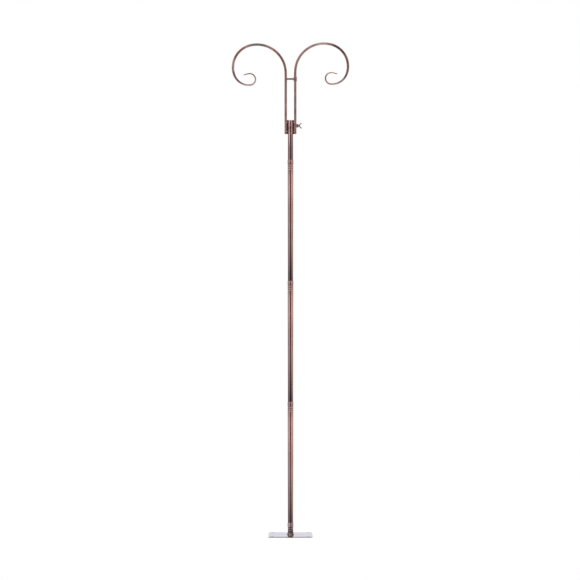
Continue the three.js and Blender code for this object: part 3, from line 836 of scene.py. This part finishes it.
def base_weld(material):
    """Fillet weld with the small ripples that the torch leaves as it goes round."""
    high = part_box("base_weld")[1]
    rings = []
    inner = TUBE_TOP_RADIUS + RING_PLAY
    for out_share, up_share in FILLET_SECTION:
        depth = FILLET_RIPPLE_DEPTH * math.sqrt(out_share * (1 - 0.3 * up_share))
        ring = []
        for angle in circle(FILLET_SIDES):
            ripple = 1 - depth * abs(math.sin(angle * FILLET_RIPPLES / 2))
            radius = inner + (high.x - inner) * out_share * ripple
            height = PLATE_THICKNESS + (high.z - PLATE_THICKNESS) * up_share * ripple
            ring.append(Vector((radius * math.cos(angle), radius * math.sin(angle), height)))
        rings.append(ring)
    dress(new_piece("base_fillet_weld", rings, closed=True), "base_weld", material)


# Hooks

def scroll_stations(start_z):
    """Centre line of a scroll with its heading and radius: the stem, then tangent arcs."""
    foot = sleeve_low.z
    straight = foot + ROD_CHAMFER
    stations = [(0, foot, 0, ROD_RADIUS - ROD_CHAMFER)]
    stations += [(0, foot + 0.3 * ROD_CHAMFER, 0, ROD_RADIUS - 0.3 * ROD_CHAMFER)]
    stations += [(0, straight, 0, ROD_RADIUS), (0, straight + HOLD, 0, ROD_RADIUS)]
    for step in range(1, STEM_STEPS + 1):
        stations.append((0, straight + (start_z - straight) * step / STEM_STEPS, 0, ROD_RADIUS))
    heading = 0
    tapers = []
    for radius, turn in BENDS:
        heading += turn
        tapers.append(radius * math.radians(min(max(heading - TAPER_START, 0), turn)))
    x = 0
    z = start_z
    heading = 0
    tapered = 0
    for radius, turn in BENDS:
        steps = round(turn / BEND_STEP)
        step_turn = turn / steps
        for _ in range(steps):
            before = math.radians(heading)
            after = math.radians(heading + step_turn)
            x += radius * (math.cos(before) - math.cos(after))
            z += radius * (math.sin(after) - math.sin(before))
            heading += step_turn
            if heading > TAPER_START:
                tapered += radius * math.radians(step_turn)
            share = min(tapered / sum(tapers), 1)
            stations.append((x, z, heading, ROD_RADIUS + (TIP_RADIUS - ROD_RADIUS) * share))
    return stations + tip_stations(stations[-1])


def tip_stations(last):
    """Rings that round the tip off."""
    x, z, heading, radius = last
    along = math.radians(heading)
    stations = []
    for angle in TIP_ANGLES:
        ahead = radius * math.sin(math.radians(angle))
        narrowed = radius * math.cos(math.radians(angle))
        stations.append((x + ahead * math.sin(along), z + ahead * math.cos(along), heading, narrowed))
    return stations


def rod(name, stations, side):
    """Sweep a round rod along stations in the scroll plane, on the left (-1) or the right (1)."""
    rings = []
    for x, z, heading, radius in stations:
        across = math.radians(heading)
        ring = []
        for angle in circle(ROD_SIDES):
            out = radius * math.cos(angle)
            ring.append(Vector((
                side * (STEM_OFFSET + x + out * math.cos(across)),
                radius * math.sin(angle),
                z - out * math.sin(across),
            )))
        rings.append(ring if side > 0 else list(reversed(ring)))
    return new_piece(name, rings)


def crossbar_middle(x):
    """Middle of the slightly arched crossbar at some place along it."""
    along = x / CROSSBAR_REACH
    return Vector((x, 0, crossbar_z + CROSSBAR_ARCH * (1 - along * along)))


def crossbar(material):
    """Slightly arched bar, whose ends run into the left stem and the collar."""
    rings = []
    for step in range(CROSSBAR_STEPS + 1):
        middle = crossbar_middle((2 * step / CROSSBAR_STEPS - 1) * CROSSBAR_REACH)
        rings.append([
            middle + Vector((0, CROSSBAR_RADIUS * math.cos(angle), CROSSBAR_RADIUS * math.sin(angle)))
            for angle in circle(ROD_SIDES)
        ])
    dress(new_piece("crossbar_rod", rings), "crossbar", material)


def crossbar_collar(material):
    low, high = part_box("crossbar_collar")
    edge = CROSS_COLLAR_EDGE
    inner = ROD_RADIUS - RING_PLAY
    profile = [(inner, low.z)]
    profile += corner(CROSS_COLLAR_RADIUS - edge, low.z + edge, edge, -90, 0, 6)
    profile += corner(CROSS_COLLAR_RADIUS - edge, high.z - edge, edge, 0, 90, 6)
    profile += [(inner, high.z)]
    ring = turned("crossbar_ferrule", profile, centre=(STEM_OFFSET, 0))
    dress(ring, "crossbar_collar", material)


def crossbar_weld(material):
    """Fillet weld that flares from the bar on to the round of the left stem, with small ripples."""
    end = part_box("crossbar_weld")[1].x
    spread_out = STEM_COVER * ROD_RADIUS - CROSSBAR_RADIUS
    rings = []
    for step in range(WELD_STEPS + 1):
        share = step / WELD_STEPS
        flare = (1 - share) ** WELD_FLARE
        ring = []
        for angle in circle(ROD_SIDES * 2):
            ripple = 1 - WELD_RIPPLE_DEPTH * abs(math.sin(WELD_RIPPLES * angle)) * (1 - share)
            y = (CROSSBAR_RADIUS + spread_out * flare * ripple) * math.cos(angle)
            start = -STEM_OFFSET + math.sqrt(ROD_RADIUS ** 2 - y * y) - WELD_SINK
            x = start + (end - start) * share
            z = (CROSSBAR_RADIUS + WELD_RISE * flare * ripple - WELD_END_STEP * share) * math.sin(angle)
            ring.append(Vector((x, y * (1 - WELD_NARROWING * share), crossbar_middle(x).z + z)))
        rings.append(ring)
    dress(new_piece("crossbar_fillet_weld", rings), "crossbar_weld", material)


# Clamp

def clamp_sleeve(material):
    edge = SLEEVE_EDGE
    bore_edge = SLEEVE_BORE_EDGE
    low = sleeve_low.z
    high = sleeve_high.z
    profile = corner(SLEEVE_BORE + bore_edge, low + bore_edge, bore_edge, 180, 270)
    profile += corner(SLEEVE_RADIUS - edge, low + edge, edge, -90, 0)
    profile += corner(SLEEVE_RADIUS - edge, high - edge, edge, 0, 90)
    profile += corner(SLEEVE_BORE + bore_edge, high - bore_edge, bore_edge, 90, 180)
    dress(turned("clamp_sleeve_tube", profile), "clamp_sleeve", material)


def weld_bead(node, material):
    """A tack weld in the valley between a stem and the sleeve or the nut: ripples that each froze over the
    one below, and a skin that is not quite round."""
    low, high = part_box(node)
    middle = (low + high) / 2
    half = (high - low) / 2
    rings = []
    for row in range(BEAD_ROWS + 1):
        along = math.cos(math.pi * (row + BEAD_END) / (BEAD_ROWS + 2 * BEAD_END))
        wave = math.sin(0.5 * math.pi * BEAD_RIPPLES * (along + BEAD_RIPPLE_SHIFT))
        ripple = 1 - BEAD_RIPPLE_DEPTH * abs(wave)
        girth = (1 - along ** 4) ** 0.5 * ripple / (1 + BEAD_UNEVENNESS)
        ring = []
        for angle in circle(BEAD_SIDES):
            reach = girth * (1 - BEAD_UNEVENNESS * math.sin(3 * angle + 2 * along))
            out = Vector((half.x * reach * math.cos(angle), half.y * reach * math.sin(angle), half.z * along))
            ring.append(middle + out)
        rings.append(ring)
    dress(new_piece(f"{node}_bead", list(reversed(rings)), sharp_from=60), node, material)


def clamp_nut(material):
    """Hexagon nut whose corners are chamfered by a cone at both faces."""
    low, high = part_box("clamp_nut")
    angles = circle(NUT_SIDES)
    side_turn = math.pi / 3
    hexagon = [
        NUT_FLAT_RADIUS / math.cos((angle + side_turn / 2) % side_turn - side_turn / 2)
        for angle in angles
    ]
    face = [min(radius, NUT_FLAT_RADIUS * NUT_FACE_SHARE) for radius in hexagon]
    drop = [(radius - small) * NUT_CHAMFER_SLOPE for radius, small in zip(hexagon, face)]
    level = [0] * NUT_SIDES
    rows = [
        (low.x, [NUT_BORE] * NUT_SIDES, level),
        (low.x, face, level),
        (low.x, hexagon, drop),
        (high.x, hexagon, [-fall for fall in drop]),
        (high.x, face, level),
        (high.x, [NUT_BORE + NUT_BORE_CHAMFER] * NUT_SIDES, level),
        (high.x - NUT_BORE_CHAMFER_DEPTH, [NUT_BORE] * NUT_SIDES, level),
    ]
    rings = []
    for x, radii, shifts in rows:
        rings.append([
            Vector((x + shift, radius * math.cos(angle), screw_z + radius * math.sin(angle)))
            for radius, shift, angle in zip(radii, shifts, angles)
        ])
    dress(new_piece("clamp_nut_hexagon", rings, closed=True, sharp_from=20), "clamp_nut", material)


def clamp_stud(material):
    """Stud with its thread cut as a helix."""
    low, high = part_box("clamp_stud")
    rows = int((high.x - low.x) / (THREAD_PITCH / THREAD_STEPS))
    rings = []
    for row in range(rows + 1):
        x = low.x + (high.x - low.x) * row / rows
        from_end = min(1, (x - low.x) / MM, (high.x - x) / MM)
        ring = []
        for angle in circle(STUD_SIDES):
            phase = ((x - low.x) / THREAD_PITCH - angle / (2 * math.pi)) % 1
            depth = THREAD_DEPTH * abs(2 * phase - 1)
            radius = STUD_RADIUS - depth - STUD_POINT * (1 - from_end)
            ring.append(Vector((x, radius * math.cos(angle), screw_z + radius * math.sin(angle))))
        rings.append(ring)
    dress(new_piece("clamp_stud_thread", rings), "clamp_stud", material)


def wing_rings(face_x, side):
    """One wing: a flattened bar that curves from the hub out to its round tip."""
    root = Vector(WING_ROOT)
    bend = Vector(WING_BEND)
    end = Vector((WING_REACH - WING_HALF_WIDTH, WING_SPAN / 2 - WING_HALF_WIDTH))
    rings = []
    for step in range(WING_STEPS + 1):
        share = step / WING_STEPS
        place = root * (1 - share) ** 2 + bend * 2 * share * (1 - share) + end * share ** 2
        course = ((bend - root) * (1 - share) + (end - bend) * share).normalized()
        # The last stretch rounds off
        left = min(1.0, (1 - share) / WING_TIP_SHARE)
        round_off = math.sqrt(max(1 - (1 - left) ** 2, 0.02))
        width = WING_HALF_WIDTH * (1.15 - 0.3 * math.sin(math.pi * share)) * round_off
        thick = WING_HALF_THICKNESS * (1.1 - 0.15 * share) * round_off
        rings.append([
            Vector((
                face_x + place.x - course.y * width * math.cos(angle),
                thick * math.sin(angle),
                screw_z + side * (place.y + course.x * width * math.cos(angle)),
            ))
            for angle in circle(WING_SIDES)
        ])
    return rings


def wing_head(material):
    """Cast head: a hub and two wings, run together with soft fillets."""
    face_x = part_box("wing_head")[0].x
    edge = HUB_EDGE
    profile = [(HUB_BORE, face_x)]
    profile += corner(HUB_RADIUS - 0.5 * edge, face_x + 0.5 * edge, 0.5 * edge, -90, 0)
    profile += corner(HUB_RADIUS - HUB_TAPER - edge, face_x + HUB_LENGTH - edge, edge, 0, 90)
    profile += [(RING_PLAY, face_x + HUB_LENGTH), (RING_PLAY, face_x + HUB_BORE_DEPTH)]
    profile += [(HUB_BORE, face_x + HUB_BORE_DEPTH)]
    head = turned_along_x("wing_hub", profile, screw_z, HUB_SIDES)
    blades = [new_piece("wing_blade", wing_rings(face_x, side)) for side in (-1, 1)]
    for blade in blades:
        union = head.modifiers.new("cast together", "BOOLEAN")
        union.operation = "UNION"
        union.solver = "EXACT"
        union.object = blade
    remesh = head.modifiers.new("even skin", "REMESH")
    remesh.mode = "VOXEL"
    remesh.voxel_size = CAST_VOXEL
    soften = head.modifiers.new("soft fillets", "SMOOTH")
    soften.factor = 0.5
    soften.iterations = 6
    mesh = bpy.data.meshes.new_from_object(head.evaluated_get(bpy.context.evaluated_depsgraph_get()))
    for part in [head] + blades:
        bpy.data.objects.remove(part)
    dress(link_mesh("wing_screw_head", mesh), "wing_head", material)


# Camera, light and floor

CAMERA_DISTANCE = 8.49
CAMERA_HEIGHT = 0.9115
CAMERA_SIDE = -0.0018
LENS = 142
SENSOR = 36
FAR_CLIP = 100
FLOOR_LIFT = 0.08
FLOOR_REACH = 0.3
WALL_SIDES = 90
WALL_RADIUS = 60
WALL_RISE = math.radians(8)
WALL_FADE = math.radians(1.5)
WHITE = "#ffffff"
BLACK = "#000000"

# Colours of the studio's round wall by bearing in degrees, from straight behind the object by way of the left
# side, the left softbox, the camera, the right softbox and the right side
WALL = [
    (-180, "#f1f0f6"), (-158, "#f1f0f6"), (-148, "#9c918e"), (-136, "#9c918e"), (-126, "#ecebee"),
    (-108, "#d6dae1"), (-92, "#bac0ca"), (-78, "#d2d9e4"), (-62, "#e9eef6"), (-44, "#f4f8ff"),
    (-26, "#f4f8ff"), (-22, "#4a1c14"), (-17, "#1e0402"), (17, "#1e0402"), (22, "#4a1c14"), (26, "#fffdfa"),
    (44, "#fffdfa"), (66, "#f5eae1"), (78, "#e9ded6"), (92, "#d6cac1"), (108, "#ece2db"), (126, "#f2efee"),
    (136, "#9c918e"), (148, "#9c918e"), (158, "#f1f0f6"), (180, "#f1f0f6"),
]


def add_camera():
    camera = bpy.data.cameras.new("photo_camera")
    camera.lens = LENS
    camera.sensor_width = SENSOR
    camera.sensor_fit = "HORIZONTAL"
    camera.clip_end = FAR_CLIP
    holder = bpy.data.objects.new("photo_camera", camera)
    holder.location = (CAMERA_SIDE, -CAMERA_DISTANCE, CAMERA_HEIGHT)
    holder.rotation_euler = (math.radians(90), 0, 0)
    scene.collection.objects.link(holder)
    scene.camera = holder


def white_room():
    """Even white light from all round, which is also the plain white behind the object."""
    world = bpy.data.worlds.new("white room")
    scene.world = world
    world.use_nodes = True
    tree = world.node_tree
    tree.nodes.clear()
    background = add_node(tree, "ShaderNodeBackground", {"Color": WHITE, "Strength": 1.0})
    add_node(tree, "ShaderNodeOutputWorld", {"Surface": background})


def stage_piece(name, verts, faces, material):
    """A mesh of the studio, which isn't part of the object."""
    mesh = bpy.data.meshes.new(name)
    mesh.from_pydata(verts, [], faces)
    mesh.materials.append(material)
    stage = bpy.data.objects.new(name, mesh)
    scene.collection.objects.link(stage)
    return stage


def wall_paint():
    """Paint that glows by bearing and fades to white some way above and below the camera's height."""
    material, tree, place, shader = start_material("painted studio wall")
    axes = add_node(tree, "ShaderNodeSeparateXYZ", (place,)).outputs
    ahead = add_node(tree, "ShaderNodeMath", (axes["Y"], -1.0), operation="MULTIPLY")
    bearing = add_node(tree, "ShaderNodeMath", (axes["X"], ahead), operation="ARCTAN2")
    turn = add_node(tree, "ShaderNodeMath", (bearing, 0.5 / math.pi, 0.5), operation="MULTIPLY_ADD")
    stops = [((degrees + 180) / 360, hex_colour) for degrees, hex_colour in WALL]
    colour = add_node(tree, "ShaderNodeValToRGB", (turn,), stops)
    off_middle = add_node(tree, "ShaderNodeMath", (axes["Z"], CAMERA_HEIGHT), operation="SUBTRACT")
    rise = add_node(tree, "ShaderNodeMath", (off_middle,), operation="ABSOLUTE")
    low, high = (WALL_RADIUS * math.tan(WALL_RISE + fade) for fade in (-WALL_FADE, 0.9 * WALL_FADE))
    glow = lay_tone(tree, colour, WHITE, (rise, low, high))
    fill(tree, shader, {"Emission Color": glow, "Emission Strength": 1.0})
    fill(tree, shader, {"Base Color": BLACK, "Specular IOR Level": 0.0})
    return material


def studio_wall():
    """Round wall that only light and reflections see: softboxes beside the camera, grey gaps between the
    other lights, and a dark brown gap that the camera stands in."""
    top = WALL_RADIUS * math.tan(WALL_RISE + WALL_FADE)
    verts = [
        (WALL_RADIUS * math.cos(angle), WALL_RADIUS * math.sin(angle), CAMERA_HEIGHT + height)
        for height in (-top, top)
        for angle in circle(WALL_SIDES)
    ]
    faces = [
        (side, (side + 1) % WALL_SIDES, (side + 1) % WALL_SIDES + WALL_SIDES, side + WALL_SIDES)
        for side in range(WALL_SIDES)
    ]
    wall = stage_piece("studio_wall", verts, faces, wall_paint())
    wall.visible_camera = False


def floor_paint():
    """Matt white, lifted a little for the camera and for reflections, so that it shows as plain white."""
    material, tree, _, shader = start_material("matt white floor")
    rays = add_node(tree, "ShaderNodeLightPath").outputs
    seen = rays["Is Camera Ray"]
    for name in ("Is Glossy Ray", "Is Transmission Ray"):
        seen = add_node(tree, "ShaderNodeMath", (seen, rays[name]), operation="MAXIMUM")
    lift = add_node(tree, "ShaderNodeMath", (seen, FLOOR_LIFT), operation="MULTIPLY")
    fill(tree, shader, {"Base Color": WHITE, "Roughness": 0.9, "Specular IOR Level": 0.0})
    fill(tree, shader, {"Emission Color": WHITE, "Emission Strength": lift})
    return material


def add_floor():
    """Round plain floor, which keeps the plate's soft shadow. The white of the room goes on beyond it."""
    rim = [(FLOOR_REACH * math.cos(angle), FLOOR_REACH * math.sin(angle), 0) for angle in circle(ROUND_SIDES)]
    stage_piece("studio_floor", rim, [tuple(range(ROUND_SIDES))], floor_paint())


# Making of the pieces

FILLET_MOTTLE = 7 * MM
BEAD_GLOSS = (0.4, 0.6)
BEAD_MOTTLE = 2 * MM
NUT_GLOSS = (0.55, 0.7)

tube_finish = pole_lacquer()
rod_finish = rod_lacquer()
dark_finish = dark_lacquer("antique copper lacquer left dark", "#b48784", "#7d5958")
crossbar_finish = dark_lacquer("antique copper lacquer on crossbar", "#8f7371", "#775d5b")
nut_finish = dark_lacquer("antique copper lacquer on nut", "#8d6d66", "#654c46", NUT_GLOSS)
fillet_finish = dark_lacquer(
    "antique copper lacquer on fillet weld", "#ac9389", "#3e2f2d", mottle=FILLET_MOTTLE,
)
# The weld beads take a lighter copy of one finish above and a darker copy below: painted light above, painted
# shade below
lit_upper_bead_finish = dark_lacquer(
    "antique copper lacquer on upper weld beads", "#f4d2cd", "#b08983", BEAD_GLOSS, BEAD_MOTTLE,
)
shaded_lower_bead_finish = dark_lacquer(
    "antique copper lacquer on lower weld beads", "#dcb6b1", "#92706b", BEAD_GLOSS, BEAD_MOTTLE,
)

foot_plate(zinc_plate())
socket_stub(stub_lacquer())
base_weld(fillet_finish)
for index, node in enumerate(("lower_pole", "middle_pole", "upper_pole")):
    pole_section(node, stub_rim + index * SECTION_LENGTH, tube_finish)
top_pole(tube_finish)

clamp_sleeve(sleeve_lacquer())
dress(rod("right_hook_rod", scroll_stations(bend_start), 1), "right_hook", rod_finish)
dress(rod("left_hook_rod", scroll_stations(bend_start - LEFT_DROP), -1), "left_hook", rod_finish)
for node in frame["nodes"]:
    if node.endswith("front_weld") or node.endswith("back_weld"):
        high_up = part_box(node)[0].z > (sleeve_low.z + sleeve_high.z) / 2
        weld_bead(node, lit_upper_bead_finish if high_up else shaded_lower_bead_finish)
crossbar(crossbar_finish)
crossbar_collar(dark_finish)
crossbar_weld(dark_finish)
clamp_nut(nut_finish)
clamp_stud(cast_metal("rolled screw thread", "#a39a96", "#6d625f"))
wing_head(cast_metal("die-cast wing head", "#938582", "#6f625f"))

add_camera()
white_room()
studio_wall()
add_floor()

scene.view_settings.view_transform = "Standard"
